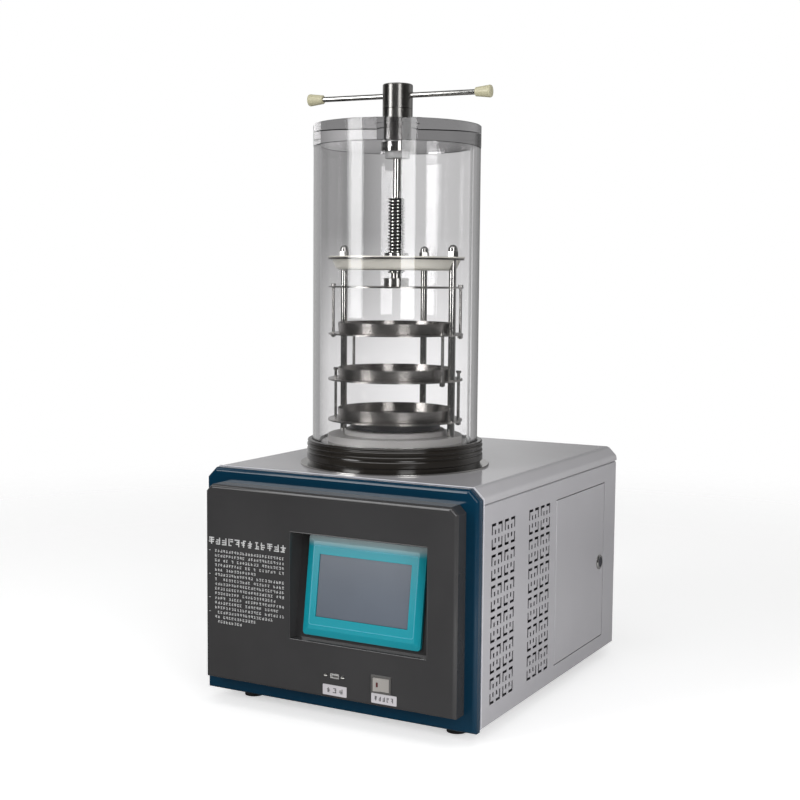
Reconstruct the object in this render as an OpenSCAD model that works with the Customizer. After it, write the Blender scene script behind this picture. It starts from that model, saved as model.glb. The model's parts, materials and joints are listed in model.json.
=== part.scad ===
/* [Cabinet] */
// Width over the top cover
cabinet_w = 450; // [440:5:480]
// Depth of the sheet metal casing, without the front moulding
cabinet_d = 530; // [510:5:580]
// Height of the casing, without the feet
cabinet_h = 334; // [330:2:350]
// Thickness of the casing sheets
sheet = 1; // [0.8:0.1:1.6]
// Chamfer along the top long edges
edge_chamfer = 15; // [10:1:18]
// Height of the vertical lip of the top cover
cover_lip = 9; // [6:1:12]
// Height of the rubber feet
foot_h = 20; // [14:1:30]
// How far the pipe fittings stand out at the back
rear_reach = 45; // [40:1:60]

/* [Front] */
// Thickness of the front frame
frame_t = 15; // [12:1:18]
// How far the control panel stands out from the frame
panel_proud = 28; // [25:1:34]
// Visible frame beside the control panel
panel_margin = 18; // [14:1:24]
// Wall of the control panel moulding
panel_wall = 2.5; // [2:0.5:3.5]
// Width of the recess for the touch screen
recess_w = 220; // [215:1:235]
// Height of the recess for the touch screen
recess_h = 154; // [150:1:165]
// Depth of the recess along its lower edge
recess_low = 15; // [12:1:18]
// Depth of the recess along its upper edge
recess_high = 36; // [30:1:38]
// Width of the touch screen bezel
bezel_w = 190; // [184:1:204]
// Height of the touch screen bezel
bezel_h = 144; // [140:1:148]

/* [Side panels] */
// Side of one square vent motif
vent_cell = 37; // [34:1:38]
// Distance between vent motifs
vent_pitch = 43.5; // [41:0.5:44.5]
// Height of the level vent slots; the upright ones are a little wider
vent_slot = 4; // [3:0.2:4.4]
// Length of the service door
door_l = 209; // [180:1:215]
// Height of the service door
door_h = 255; // [220:1:258]

/* [Chamber] */
// Distance of the chamber axis from the front of the casing
axis_back = 160; // [155:1:180]
// Outer diameter of the clear tube
tube_od = 250; // [246:1:254]
// Wall of the clear tube
tube_wall = 10; // [8:1:12]
// Height of the clear lid
lid_h = 31.5; // [28:0.5:34]
// Top of the lid above the top cover
lid_top = 507; // [500:1:520]
// Diameter of the handle hub
hub_d = 45; // [42:1:48]
// Length of the handle bar over its grips
bar_l = 300; // [270:5:340]
// Angle of the handle bar at rest
bar_angle = 3.5; // [-30:0.5:30]

/* [Shelf rack] */
// Diameter of the shelves
shelf_d = 204; // [202:1:206]
// Thickness of the shelves
shelf_t = 2; // [1.5:0.5:2.5]
// Diameter of the trays
tray_d = 175; // [168:1:175]
// Height of the tray rims
tray_h = 16; // [12:1:18]
// Top of the lower shelf above the top cover
low_shelf = 69.5; // [68:0.5:71]
// Top of the middle shelf above the top cover
mid_shelf = 130.5; // [130:0.5:132]
// Top of the upper shelf above the top cover
high_shelf = 198.5; // [198:0.5:200]
// Top of the press plate above the top cover
plate_top = 268.5; // [268:0.5:270]
// Pitch circle radius of the posts
post_r = 93; // [92.5:0.1:93.5]
// Diameter of the posts
post_d = 10; // [9:0.5:10]
// Diameter of the lead screw
screw_d = 26; // [24:1:26]
// Diameter of the drive shaft
shaft_d = 12; // [11:0.5:12]

/* [Hidden] */
$fn = 96;
tiny = 0.01;

// Stations from front to back: control panel, frame, casing, rear panel
switch_proud = 4.3;
panel_y = -(panel_proud + frame_t + cabinet_d + rear_reach - switch_proud) / 2;
frame_y = panel_y + panel_proud;
case_y = frame_y + frame_t;
back_y = case_y + cabinet_d;
axis_y = case_y + axis_back;
// Levels: underside and top of the casing
case_z = foot_h;
top_z = foot_h + cabinet_h;
// Cabinet details
half_w = cabinet_w / 2;
side_x = half_w - 1;
seam_z = top_z - edge_chamfer - cover_lip;
flange_in = 14;
pan_rim = 14;
hem = 12;
seam_gap = 1.6;
fold = 2;
top_bend = 3;
cover_bend = 10;
frame_round = 5.5;
panel_round = 5;
frame_drop = 3.5;
trap_hole_r = 115;
// Control panel outline
panel_w = 2 * (half_w - 1 - panel_margin);
panel_low = case_z + 22.5;
panel_high = top_z - 22;
recess_x = 51.7;
recess_z = case_z + 177;
tilt = atan((recess_high - recess_low) / recess_h);
bezel_t = 8;
screen_w = 149;
screen_h = 89;
usb_x = 16.5;
usb_z = case_z + 55.3;
switch_x = 92.3;
switch_z = case_z + 54.5;
rocker_rest = 7;
// Side vents and service door, measured back from the front of the casing
vent_rows = 6;
vent_groups = [47.5, 178];
vent_low = case_z + 44.7;
door_front = case_y + 267;
door_low = case_z + 24.5;
hinge_x = side_x - 5;
hinge_y = door_front + 3;
door_end = door_front + door_l + 1.5;
lock_y = door_front + 189;
lock_z = case_z + 150.7;
// Chamber seat
pot_r = 100;
pot_depth = 184;
neck_r = 112.5;
flange_r = 143.5;
flange_t = 2.5;
collar_r = 133.6;
collar_top = top_z + 38;
tube_r = tube_od / 2;
tube_low = top_z + 14;
tube_high = top_z + lid_top - lid_h;
rack_floor = top_z + 36;
rack_top = rack_floor + 10;
post_angles = [0, 90, 180];
upper_rod_angles = [20, 200];
middle_rod_angles = [-18, 162];
lower_rod_angles = [12, 192];
rod_r = 97.5;
rod_d = 4.5;
rod_nut = 8;
rod_nut_h = 4.5;
rod_head = 3.5;
dish_z = top_z + 293;
top_plate_z = top_z + 313;
// Drive line, from the lid down to the press plate
hub_z = top_z + 532.5;
hub_top = top_z + 568.5;
bar_z = top_z + 551.7;
shank_d = 41;
bush_z = top_z + 459;
ring_z = top_z + 468.5;
screw_top = top_z + 400;
screw_low = top_z + 288.6;
foot_top = top_z + 281;
shaft_low = top_z + 316;
foot_d = 37.4;
neck_d = 16;
key_flat = 10.4;

function ring_point(r, a) = [r * cos(a), r * sin(a)];

// Arc that blunts a corner of 45 degrees at v, where the outline's normal turns from angle a
function blunt(v, a, r) = [
    for (t = [0 : 11.25 : 45])
        v + r * [cos(a + t), sin(a + t)] - r / cos(22.5) * [cos(a + 22.5), sin(a + 22.5)]
];

// Front outline of the cabinet, drawn on X and Z, with chamfered and blunted top corners
function front_outline(w, low, high, chamfer, r = 3) = concat(
    [[-w / 2, low], [w / 2, low]],
    blunt([w / 2, high - chamfer], 0, r),
    blunt([w / 2 - chamfer, high], 45, r),
    blunt([-w / 2 + chamfer, high], 90, r),
    blunt([-w / 2, high - chamfer], 135, r)
);

// A sheet on X and Z whose back face lies at y, growing forwards
module upright(y, t) translate([0, y, 0]) rotate([90, 0, 0]) linear_extrude(t) children();

// A sheet on Y and Z whose left face lies at x, growing to the right
module sideways(x, t) translate([x, 0, 0]) rotate([90, 0, 90]) linear_extrude(t) children();

// A turned shape round the chamber axis
module turned() translate([0, axis_y, 0]) rotate_extrude() children();

// A slab on X and Z that grows forwards from y and has a rounded front edge
module rounded_slab(y, t, r, w, low, high, chamfer, bend = 3) hull() for (turn = [0 : 15 : 90]) {
    inset = r * (1 - cos(turn));
    upright(y, t - r + r * sin(turn)) polygon(front_outline(w - 2 * inset, low + inset,
        high - inset, chamfer - inset * (2 - sqrt(2)), max(bend - inset, 0.2)));
}

// Rounds the upright edges at the front and back ends of a sheet along the side
module folded(front, back, r) intersection() {
    children();
    translate([0, (front + back) / 2, 0]) linear_extrude(top_z)
        rounded_rect(2 * side_x, back - front, r);
}

// Copies round the chamber axis
module around(angles, r, z)
    for (a = angles) translate([0, axis_y, z]) rotate(a) translate([r, 0, 0]) children();

module rounded_rect(w, h, r) {
    square([w - 2 * r, h], center = true);
    square([w, h - 2 * r], center = true);
    for (x = [-1, 1], y = [-1, 1]) translate([x * (w / 2 - r), y * (h / 2 - r)]) circle(r);
}

// ---- Cabinet ----

module base_pan() color("gainsboro") {
    inner_x = side_x - sheet;
    difference() {
        translate([-inner_x, case_y, case_z]) cube([2 * inner_x, cabinet_d - sheet, pan_rim]);
        translate([-inner_x + sheet, case_y + sheet, case_z + sheet])
            cube([2 * (inner_x - sheet), cabinet_d - 3 * sheet, pan_rim]);
        foot_places() translate([0, 0, case_z - tiny]) cylinder(d = 5.2, h = 5);
    }
}

module foot_places()
    for (x = [-172, 172], y = [case_y + 34, back_y - 34]) translate([x, y, 0]) children();

module feet() color("black") foot_places() {
    difference() {
        union() {
            cylinder(r1 = 14.5, r2 = 16, h = foot_h - 4);
            translate([0, 0, foot_h - 4]) cylinder(r = 16, h = 4);
        }
        translate([0, 0, -1]) cylinder(d = 11, h = 7);
    }
}

// One square motif: four corner angles round four short slots
module vent_motif() {
    edge = vent_cell / 2;
    arm = vent_cell * 0.42;
    leg = vent_slot + 0.6;
    for (u = [-1, 1], v = [-1, 1]) {
        translate([u * (edge - arm / 2), v * (edge - vent_slot / 2)])
            square([arm, vent_slot], center = true);
        translate([u * (edge - leg / 2), v * (edge - arm / 2)]) square([leg, arm], center = true);
        translate([u, v] * vent_cell * 0.16)
            square([vent_slot + 1.4, vent_cell * 0.18], center = true);
    }
}

module vent_field()
    for (group = vent_groups, column = [0, 1], row = [0 : vent_rows - 1])
        translate([case_y + group + column * vent_pitch, vent_low + row * vent_pitch])
            vent_motif();

module door_hole()
    translate([hinge_y - 5.5, door_low - 1.5]) square([door_end - hinge_y + 5.5, door_h + 3]);

module cornered(w, h, r) {
    square([w, h - r]);
    square([w - r, h]);
    translate([w - r, h - r]) circle(r);
}

// Sheet with a flange bent in at the top and a return behind the front frame
module side_sheet() folded(case_y, back_y + 10, fold) {
    upright(back_y, cabinet_d) translate([side_x - flange_in, case_z]) difference() {
        cornered(flange_in, seam_z - case_z, top_bend);
        translate([-sheet, -sheet]) cornered(flange_in, seam_z - case_z, top_bend - sheet);
    }
    translate([side_x - 10, case_y, case_z + pan_rim + 0.5])
        cube([10 - tiny, sheet, seam_z - top_bend - case_z - pan_rim]);
}

// The right panel carries two hinge brackets and the catch of the lock
module side_panel_right() color("silver") difference() {
    union() {
        side_sheet();
        for (z = [door_low - 1.5 - 8, door_low + door_h + 1.5])
            translate([side_x - sheet - 12, door_front - 10, z]) cube([12, 20, 8]);
        translate([side_x - 17, door_end, lock_z - 22]) cube([17 - tiny, sheet, 44]);
    }
    sideways(side_x - 2 * sheet, 3 * sheet) {
        vent_field();
        door_hole();
    }
    translate([hinge_x, hinge_y, door_low - 6]) cylinder(d = 4.2, h = 6);
    translate([hinge_x, hinge_y, door_low + door_h]) cylinder(d = 4.2, h = 6);
}

module side_panel_left() color("silver") difference() {
    mirror([1, 0, 0]) side_sheet();
    sideways(-side_x - sheet, 3 * sheet) vent_field();
}

module rear_panel() color("silver") {
    inner = side_x - sheet - 0.2;
    upright(back_y, sheet) difference() {
        translate([-inner, case_z]) square([2 * inner, seam_z - sheet - case_z]);
        translate([vacuum_x, vacuum_z]) circle(d = 28.6);
        translate([0, drain_z]) circle(d = 12.4);
        translate([inlet_x, inlet_z]) square([28, 21], center = true);
    }
}

// The outline of the cover, inset all round, and open below the seam
module cover_outline(inset) polygon(front_outline(cabinet_w - 2 * inset, seam_z - 40,
    top_z - inset, edge_chamfer - inset * (2 - sqrt(2)), max(cover_bend - inset, 0.2)));

// Folded cover: top, two chamfers, two lips with hems turned in, and a return at the front.
// It rests on the stepped hems, which leave a narrow groove under the lips.
module top_cover() color("silver") {
    lip_z = seam_z + seam_gap;
    difference() {
        rounded_slab(back_y, cabinet_d, fold, cabinet_w, seam_z - 40, top_z, edge_chamfer, cover_bend);
        upright(back_y - sheet, cabinet_d - 2 * sheet) cover_outline(sheet);
        upright(case_y + 2 * sheet, 3 * sheet) cover_outline(8);
        translate([-cabinet_w, case_y - 1, lip_z - 50]) cube([2 * cabinet_w, cabinet_d + 2, 50]);
        translate([0, axis_y, top_z - 10]) cylinder(r = trap_hole_r, h = 20);
    }
    for (side = [0, 1]) mirror([side, 0, 0]) {
        translate([half_w - hem, case_y + fold, lip_z])
            cube([hem - tiny, cabinet_d - fold - tiny, sheet]);
        translate([half_w - hem, case_y + fold, seam_z])
            cube([5, cabinet_d - fold - tiny, seam_gap + sheet]);
    }
}

// ---- Front moulding ----

module front_frame() color("midnightblue") {
    rim = 7;
    difference() {
        rounded_slab(case_y, frame_t, frame_round, 2 * side_x - 1, case_z - frame_drop, top_z - 1,
            edge_chamfer);
        upright(case_y + 1, frame_t + 2)
            polygon(front_outline(panel_w - 2 * rim, panel_low + rim, panel_high - rim, 8));
    }
}

// Side view of the recess: shallow at the bottom, deep at the top, floor leaning back
module recess_shape(w, wall)
    sideways(recess_x - w / 2, w) polygon([
        [panel_y - 1, recess_z - recess_h / 2 - wall],
        [panel_y + recess_low + wall, recess_z - recess_h / 2 - wall],
        [panel_y + recess_high + wall, recess_z + recess_h / 2 + wall],
        [panel_y - 1, recess_z + recess_h / 2 + wall]
    ]);

// The frame of the touch screen: origin on the recess floor, -Y out of the floor
module on_recess_floor()
    translate([recess_x, panel_y + (recess_low + recess_high) / 2, recess_z])
        rotate([-tilt, 0, 0]) children();

module front_panel() color("dimgray") {
    difference() {
        union() {
            difference() {
                rounded_slab(frame_y, panel_proud, panel_round, panel_w, panel_low, panel_high, 10);
                rounded_slab(frame_y + 1, panel_proud + 1 - panel_wall, panel_round - panel_wall,
                    panel_w - 2 * panel_wall, panel_low + panel_wall, panel_high - panel_wall, 8.5);
            }
            intersection() {
                recess_shape(recess_w + 2 * panel_wall, panel_wall);
                translate([-panel_w, panel_y + 0.5, 0]) cube([2 * panel_w, 100, top_z]);
            }
        }
        recess_shape(recess_w, 0);
        on_recess_floor() translate([-87, -5, -63]) cube([174, 20, 126]);
        translate([usb_x - 8, panel_y - 1, usb_z - 4]) cube([16, 10, 8]);
        for (x = [-14, 14]) translate([usb_x + x, panel_y - 1, usb_z]) rotate([-90, 0, 0])
            cylinder(d = 3.2, h = 10);
        translate([switch_x - 14, panel_y - 1, switch_z - 11]) cube([28, 10, 22]);
    }
}

// Bezel and rear box of the touch screen are one moulding
module hmi_housing() color("darkturquoise") on_recess_floor() {
    difference() {
        hull() {
            rotate([90, 0, 0]) linear_extrude(5) rounded_rect(bezel_w, bezel_h, 5, $fn = 32);
            rotate([90, 0, 0]) linear_extrude(bezel_t)
                rounded_rect(bezel_w - 19, bezel_h - 19, 3, $fn = 32);
        }
        translate([-screen_w / 2, -bezel_t - 1, -screen_h / 2])
            cube([screen_w, bezel_t - 2.5 + 1, screen_h]);
    }
    translate([-86, 0, -62]) cube([172, 34, 124]);
}

module hmi_screen() color("slategray") on_recess_floor()
    translate([-screen_w / 2 + 0.3, -bezel_t + 1.5, -screen_h / 2 + 0.3])
        cube([screen_w - 0.6, 4, screen_h - 0.6]);

module usb_socket() color("silver") {
    depth = 18;
    shell_y = panel_y + 0.4;
    difference() {
        translate([usb_x - 7, shell_y, usb_z - 3.2]) cube([14, depth, 6.4]);
        translate([usb_x - 6.3, shell_y - 1, usb_z - 2.5]) cube([12.6, depth - 2, 5]);
    }
    translate([usb_x - 5.8, shell_y + 2, usb_z + 0.2]) cube([11.6, depth - 3, 1.6]);
    difference() {
        translate([usb_x - 18, panel_y + panel_wall, usb_z - 6]) cube([36, 2, 12]);
        translate([usb_x - 6.9, panel_y, usb_z - 3.1]) cube([13.8, 10, 6.2]);
        for (x = [-14, 14]) translate([usb_x + x, panel_y, usb_z]) rotate([-90, 0, 0])
            cylinder(d = 3.2, h = 10);
    }
}

// Raised cheese-head screws through the panel and the flange of the socket
module usb_screws() color("silver")
    for (x = [-14, 14]) translate([usb_x + x, panel_y, usb_z]) rotate([90, 0, 0]) difference() {
        union() {
            cylinder(d = 5.4, h = 1.4);
            translate([0, 0, -9]) cylinder(d = 3, h = 9);
        }
        translate([0, 0, 1.4]) cube([6, 0.8, 1.2], center = true);
    }

// Local frame of the rocker switch: origin on the pivot axis, which stands upright
module at_switch() translate([switch_x, panel_y + 8.8 - switch_proud, switch_z]) children();

module switch_body() color("black") at_switch() difference() {
    union() {
        translate([-15.5, -6.3, -12.5]) cube([31, 1.8, 25]);
        translate([-13.8, -4.6, -10.8]) cube([27.6, 20, 21.6]);
        for (x = [-7, 0, 7]) translate([x - 0.4, 15, -3]) cube([0.8, 8, 6]);
    }
    translate([-13.1, -7, -9.8]) cube([26.2, 19.5, 19.6]);
    translate([0, 0, -10.4]) cylinder(d = 3.2, h = 20.8);
}

// Two faces meeting in a shallow valley; at rest the right-hand face is pressed in
module switch_rocker() color("gray") at_switch() rotate(rocker_rest) {
    translate([0, 0, -9.4]) linear_extrude(18.8) polygon([
        [-12.2, 3], [-12.2, -7.4], [0, -6], [12.2, -7.4], [12.2, 3], [8, 6.5], [-8, 6.5]
    ]);
    translate([0, 0, -10.3]) cylinder(d = 3, h = 20.6);
}

// ---- Service door ----

// Sheet flush with the side panel; its top and bottom flanges turn on the hinge pins
module service_door() color("silver") difference() {
    folded(door_front, door_front + door_l, 1.8) {
        sideways(side_x - sheet, sheet) translate([door_front, door_low]) square([door_l, door_h]);
        for (z = [door_low, door_low + door_h - sheet])
            translate([side_x - 12, door_front, z]) cube([12 - tiny, door_l, sheet]);
        for (edge = [[door_front, 2.7], [door_front + door_l - sheet, 12]])
            translate([side_x - edge[1], edge[0], door_low]) cube([edge[1] - tiny, sheet, door_h]);
    }
    translate([hinge_x, hinge_y, door_low - 1]) cylinder(d = 4.2, h = door_h + 2);
    translate([side_x - 5, lock_y, lock_z]) rotate([0, 90, 0]) cylinder(d = 20.2, h = 10);
}

module hinge_pins() color("silver")
    for (z = [door_low - 6, door_low + door_h - 4]) translate([hinge_x, hinge_y, z])
        cylinder(d = 4, h = 10);

module at_lock() translate([side_x, lock_y, lock_z]) rotate([0, 90, 0]) children();

module lock_barrel() color("silver") at_lock() difference() {
    union() {
        rotate_extrude() polygon([[0, 0], [12, 0], [12, 1.6], [10.6, 3], [0, 3]]);
        translate([0, 0, -16]) cylinder(d = 20, h = 16 + tiny);
        translate([0, 0, -sheet - 5]) cylinder(d = 26, h = 5 - tiny, $fn = 6);
    }
    translate([0, 0, -20]) cylinder(d = 16.2, h = 30);
}

module lock_plug() color("black") at_lock() difference() {
    translate([0, 0, -19]) cylinder(d = 16, h = 21.4);
    translate([0, 0, 2.4]) cube([9, 1.4, 3], center = true);
}

// The cam hangs down behind the door at rest and turns back behind the side panel
module lock_cam() color("silver") at_lock() translate([0, 0, -21.5]) linear_extrude(2.5) {
    circle(d = 16);
    translate([0, -6]) square([30, 12]);
}

// ---- Refrigeration ----

module trap_pot() color("silver") difference() {
    turned() polygon([
        [0, top_z - pot_depth], [pot_r - 4, top_z - pot_depth], [pot_r, top_z - pot_depth + 4],
        [pot_r, top_z - 1.5], [trap_hole_r - 0.4, top_z - 1.5], [trap_hole_r - 0.4, top_z],
        [pot_r - 1.5, top_z], [pot_r - 1.5, top_z - pot_depth + 4.6],
        [pot_r - 4.6, top_z - pot_depth + 1.5], [0, top_z - pot_depth + 1.5]
    ]);
    translate([vacuum_x, axis_y, vacuum_z]) rotate([-90, 0, 0]) cylinder(d = 25, h = 200);
    translate([0, axis_y, top_z - pot_depth - 1]) cylinder(d = 8, h = 4);
}

// The coil ends below the passage of the vacuum pipe, and its straight steps clear the trap
coil_turns = 5;
coil_pitch = 16;
coil_tube = 8;
coil_steps = 24;
coil_sides = 8;
coil_r = (pot_r + coil_tube / 2 + 0.3) / cos(180 / coil_steps);
coil_z = top_z - pot_depth + 20;

// Evaporator: one copper tube wound round the cold trap
module trap_coil() color("peru") translate([0, axis_y, coil_z]) {
    rings = coil_turns * coil_steps;
    points = [
        for (i = [0 : rings], s = [0 : coil_sides - 1])
            let (
                turn = 360 * i / coil_steps,
                section = 360 * s / coil_sides,
                r = coil_r + coil_tube / 2 * cos(section)
            )
            [r * cos(turn), r * sin(turn),
                coil_pitch * i / coil_steps + coil_tube / 2 * sin(section)]
    ];
    walls = [
        for (i = [0 : rings - 1], s = [0 : coil_sides - 1])
            let (a = i * coil_sides + s, b = i * coil_sides + (s + 1) % coil_sides)
            [a, b, b + coil_sides, a + coil_sides]
    ];
    first = [for (s = [coil_sides - 1 : -1 : 0]) s];
    last = [for (s = [0 : coil_sides - 1]) rings * coil_sides + s];
    polyhedron(points, concat([first], walls, [last]));
}

module trap_insulation() color("khaki") difference() {
    translate([0, axis_y, top_z - pot_depth - 22]) cylinder(r = 123, h = pot_depth + 22 - 6);
    translate([0, axis_y, top_z - pot_depth - 0.2]) cylinder(r = coil_r + coil_tube / 2 + 0.4, h = 300);
    translate([0, axis_y, case_z]) cylinder(d = 13, h = 300);
    translate([vacuum_x, axis_y, vacuum_z]) rotate([-90, 0, 0]) cylinder(d = 28.6, h = 200);
}

compressor_x = 100;
compressor_y = axis_y + 230;

module compressor() color("black") translate([compressor_x, compressor_y, case_z]) {
    rotate_extrude() polygon([
        [0, 22], [60, 22], [70, 34], [72, 60], [74, 62], [74, 66], [72, 68], [70, 130],
        [60, 152], [40, 164], [0, 168]
    ]);
    for (a = [45 : 90 : 315]) rotate(a) translate([74, 0, 0]) {
        translate([-20, -12, 16]) cube([34, 24, 3]);
        translate([-14, -12, 16]) cube([3, 24, 20]);
        translate([4, 0, sheet]) cylinder(d = 22, h = 14.5);
    }
    translate([-40, -76, 70]) cube([44, 30, 50]);
    for (p = [[-30, 40, 60], [20, 55, 40]]) translate([p[0], p[1], 100])
        cylinder(d = 8, h = p[2] + 30);
}

condenser_x = 168;
condenser_y = case_y + 20;
condenser_l = 232;
condenser_h = 250;

// Fins on a row of straight tubes joined by return bends
module condenser() color("silver") translate([condenser_x, condenser_y, case_z + 22]) {
    fins = 20;
    tubes = 6;
    fin_pitch = condenser_l / fins;
    tube_pitch = condenser_h / tubes;
    for (i = [0 : fins - 1]) translate([0, (i + 0.5) * fin_pitch, 0]) cube([38, 0.8, condenser_h]);
    for (j = [0 : tubes - 1]) translate([19, 0, (j + 0.5) * tube_pitch]) rotate([-90, 0, 0])
        cylinder(d = 9, h = condenser_l);
}

fan_y = condenser_y + condenser_l / 2;
fan_z = case_z + 22 + condenser_h / 2;
fan_x = 128;
fan_depth = 38;

module at_fan() translate([fan_x, fan_y, fan_z]) rotate([0, 90, 0]) children();

// Square shroud with a motor held on four struts
module fan_housing() color("black") at_fan() {
    difference() {
        translate([-105, -100, 0]) cube([210, 200, fan_depth]);
        translate([0, 0, -1]) cylinder(d = 182, h = fan_depth + 2);
    }
    for (a = [45 : 90 : 315]) rotate(a) translate([20, -4, 0]) cube([73, 8, 4]);
    cylinder(d = 54, h = 10);
    cylinder(d = 8, h = fan_depth - 8);
}

module fan_blades() color("darkslategray") at_fan() translate([0, 0, 12]) difference() {
    union() {
        cylinder(d = 56, h = 22);
        for (a = [0 : 72 : 288]) rotate(a) translate([26, 0, 11]) rotate([35, 0, 0])
            translate([0, -17, -1]) cube([60, 34, 2]);
    }
    translate([0, 0, -1]) cylinder(d = 8.1, h = 20);
}

// Switch gear behind the left panel, with its louvres towards the vents
module control_box() color("gray") translate([-210, back_y - 200, case_z + 25]) difference() {
    cube([80, 170, 150]);
    for (i = [0 : 7]) translate([-1, 20 + i * 18, 40]) cube([3, 4, 70]);
}

// ---- Rear fittings ----

vacuum_x = -52;
vacuum_z = top_z - 62;
drain_z = case_z + 45;
inlet_x = 150;
inlet_z = case_z + 60;

// Pipe from the cold trap to a clamp flange of nominal bore 25
module vacuum_port() color("silver") {
    start = axis_y + sqrt(pow(pot_r - 1, 2) - pow(vacuum_x, 2));
    length = back_y + rear_reach - start;
    difference() {
        translate([vacuum_x, start, vacuum_z]) rotate([-90, 0, 0]) rotate_extrude() polygon([
            [12, 0], [14, 0], [14, length - 7.5], [20, length - 3], [20, length], [12, length]
        ]);
        translate([0, axis_y, vacuum_z - 50]) cylinder(r = pot_r, h = 100);
    }
}

module power_inlet() color("black") translate([inlet_x, back_y, inlet_z]) {
    difference() {
        union() {
            translate([-25, 0, -15]) cube([50, 3, 30]);
            translate([-13.6, -22, -10]) cube([27.2, 22 + tiny, 20]);
        }
        translate([-12, -17, -8]) cube([24, 30, 16]);
        for (x = [-20, 20]) translate([x, -1, 0]) rotate([-90, 0, 0]) cylinder(d = 3.4, h = 6);
    }
    for (p = [[-7, -2], [0, 2], [7, -2]]) translate([p[0] - 1, -17 - tiny, p[1] - 2]) cube([2, 15, 4]);
}

// Drain from the floor of the cold trap, with a hose barb at the back
module drain_nozzle() color("silver") {
    down = top_z - pot_depth;
    barb = back_y + 4;
    difference() {
        union() {
            translate([0, axis_y, drain_z]) cylinder(d = 12, h = down - drain_z);
            translate([0, axis_y, drain_z]) sphere(d = 12);
            translate([0, axis_y, drain_z]) rotate([-90, 0, 0]) cylinder(d = 12, h = barb - axis_y);
            translate([0, barb, drain_z]) rotate([-90, 0, 0]) rotate_extrude() polygon([
                [0, 0], [8, 0], [8, 4], [5, 4], [5, 7], [6.2, 7], [5, 13], [6.2, 13], [5, 19],
                [6.2, 19], [5, 26], [0, 26]
            ]);
        }
        translate([0, axis_y, drain_z]) cylinder(d = 7, h = down - drain_z + 1);
        translate([0, axis_y, drain_z]) rotate([-90, 0, 0]) cylinder(d = 7, h = barb - axis_y + 30);
    }
}

// ---- Chamber seat ----

// Flange with a raised neck, on which the shelf rack stands
module base_flange() color("silver") turned() polygon([
    [pot_r - 1.5, top_z], [flange_r - 0.5, top_z], [flange_r, top_z + 0.5],
    [flange_r, top_z + flange_t - 0.8], [flange_r - 0.8, top_z + flange_t],
    [neck_r, top_z + flange_t], [neck_r, rack_floor - 1], [neck_r - 1, rack_floor],
    [pot_r - 1.5, rack_floor]
]);

// Section of a rib of the collar between two heights
function rib(low, high, r) = [
    [r - 1.8, low], [r - 0.6, low + 0.6], [r, low + 1.8], [r, high - 1.8], [r - 0.6, high - 0.6],
    [r - 1.8, high]
];

// Collar that holds the foot of the tube: a tall band over a recessed foot, then three ribs
module seal_collar() color("black") turned() {
    low = top_z + flange_t;
    wall = tube_r + 0.6;
    polygon(concat(
        [[neck_r + 0.5, low], [collar_r - 3.5, low], [collar_r - 3.5, top_z + 7.2]],
        rib(top_z + 8, top_z + 18.6, collar_r),
        rib(top_z + 20.2, top_z + 25.6, collar_r - 0.2),
        rib(top_z + 27.4, top_z + 33, collar_r - 0.2),
        rib(top_z + 34.2, collar_top, collar_r - 0.8),
        [[wall + 0.8, collar_top], [wall, collar_top - 0.8], [wall, low + 7], [neck_r + 0.5, low + 7]]
    ));
}

module seal_ring() color("black") turned() {
    low = top_z + flange_t + 7;
    polygon([
        [neck_r + 0.8, low], [tube_r + 0.3, low], [tube_r + 0.3, tube_low],
        [neck_r + 0.8, tube_low]
    ]);
}

module chamber_tube() color("lightcyan", 0.4) turned() polygon([
    [tube_r - tube_wall, tube_low], [tube_r, tube_low], [tube_r, tube_high],
    [tube_r - tube_wall, tube_high]
]);

module chamber_lid() color("lightcyan", 0.4) turned() polygon([
    [shank_d / 2 + 0.3, tube_high], [tube_r + 0.5, tube_high], [tube_r + 0.5, top_z + lid_top - 0.8],
    [tube_r - 0.3, top_z + lid_top], [shank_d / 2 + 0.3, top_z + lid_top]
]);

// ---- Drive line ----

module gland_body() color("silver") turned() {
    lid_face = top_z + lid_top;
    polygon([
        [shaft_d / 2 + 0.1, bush_z + 6], [17, bush_z + 6], [17, ring_z], [shank_d / 2, ring_z],
        [shank_d / 2, lid_face], [hub_d / 2, lid_face], [hub_d / 2, hub_z - 0.6],
        [shaft_d / 2 + 0.1, hub_z - 0.6]
    ]);
}

module gland_nut() color("silver") {
    depth = tube_high - ring_z;
    difference() {
        translate([0, axis_y, ring_z]) cylinder(d = 50, h = depth);
        translate([0, axis_y, ring_z - 1]) cylinder(d = shank_d + 0.2, h = depth + 2);
    }
}

module gland_bush() color("gray") turned() polygon([
    [17.1, ring_z - 0.1], [18.5, ring_z - 0.1], [18.5, bush_z], [shaft_d / 2 + 0.1, bush_z],
    [shaft_d / 2 + 0.1, bush_z + 5.9], [17.1, bush_z + 5.9]
]);

module handle_hub() color("silver") difference() {
    turned() {
        r = 2.5;
        difference() {
            translate([0, hub_z]) square([hub_d / 2, hub_top - hub_z]);
            translate([hub_d / 2 - r, hub_top - r]) square(r + 1);
            translate([0, hub_z - 1]) square([shaft_d / 2 + 0.05, 15]);
        }
        intersection() {
            translate([hub_d / 2 - r, hub_top - r]) circle(r);
            translate([0, hub_z]) square([hub_d, hub_d]);
        }
    }
    along_bar() cylinder(d = 8.1, h = hub_d + 2, center = true);
}

module along_bar() translate([0, axis_y, bar_z]) rotate([0, 90, bar_angle]) children();

module tee_bar() color("silver") along_bar() cylinder(d = 8, h = bar_l - 12, center = true);

module bar_grips() color("khaki") for (side = [0, 180]) translate([0, axis_y, bar_z])
    rotate([0, 90, bar_angle + side]) translate([0, 0, bar_l / 2 - 25]) difference() {
        rotate_extrude() polygon([
            [0, 0], [5.8, 0], [6.6, 0.8], [9.2, 22.5], [8.6, 24.2], [5, 25], [0, 25]
        ]);
        translate([0, 0, -1]) cylinder(d = 8.05, h = 20.1);
    }

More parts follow.
